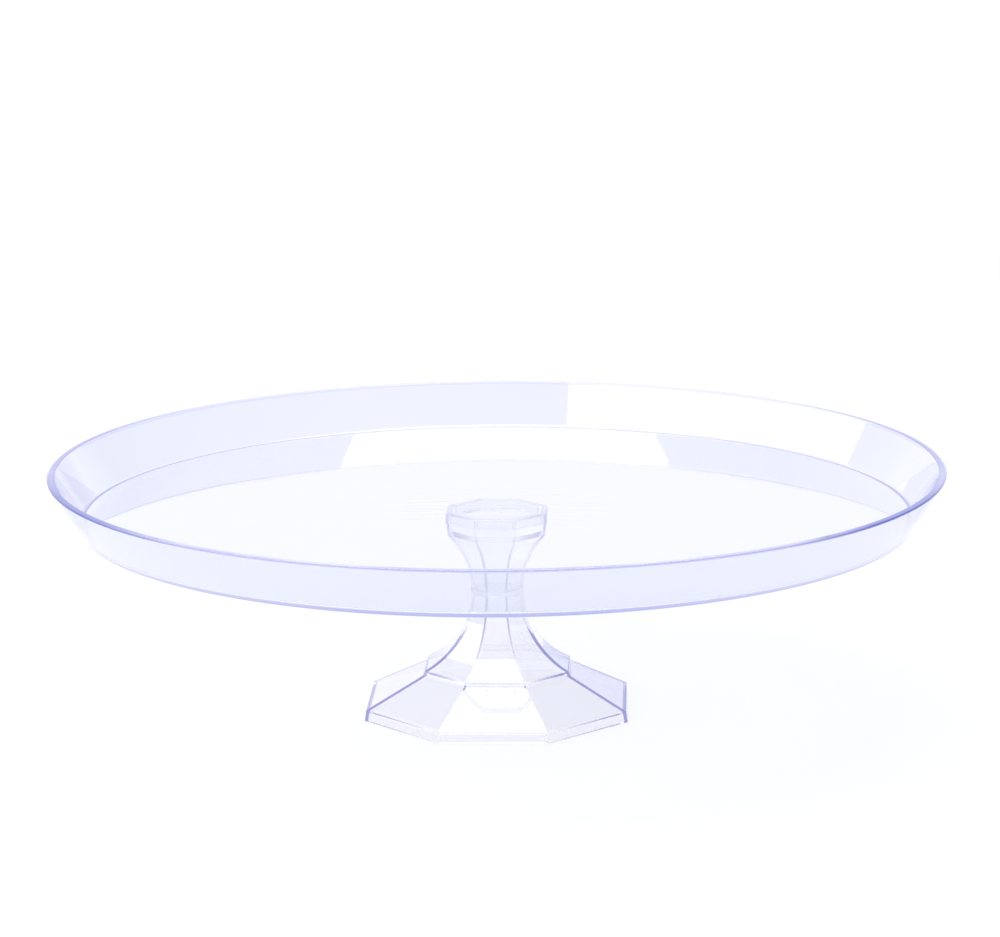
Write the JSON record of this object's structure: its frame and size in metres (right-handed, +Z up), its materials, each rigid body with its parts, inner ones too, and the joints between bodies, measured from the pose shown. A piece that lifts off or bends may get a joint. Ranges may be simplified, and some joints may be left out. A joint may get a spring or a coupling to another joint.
{
  "type": "cake stand",
  "caption": "Clear plastic cake stand: a shallow round plate with a slanting wall and beaded rim, lifting off a hollow eight-sided pedestal.",
  "frame": {"origin": "on the table, under the middle of the stand", "axes": "+Z up along the stand's axis; X and Y square to two pairs of the foot's eight sides"},
  "size_m": [0.3492, 0.3492, 0.0986],
  "materials": {
    "plate_plastic": "clear moulded polystyrene, glossy, faintly blue-violet through its edges",
    "pedestal_plastic": "clear moulded polystyrene, glossy, faintly blue-violet through its edges"
  },
  "bodies": {
    "pedestal": {"pedestal": "pedestal_plastic"},
    "plate": {"plate": "plate_plastic"}
  },
  "joints": [
    {"name": "plate_lift", "type": "slide", "parent": "pedestal", "child": "plate", "axis": [0, 0, 1], "range_m": [0, 0.04]}
  ]
}
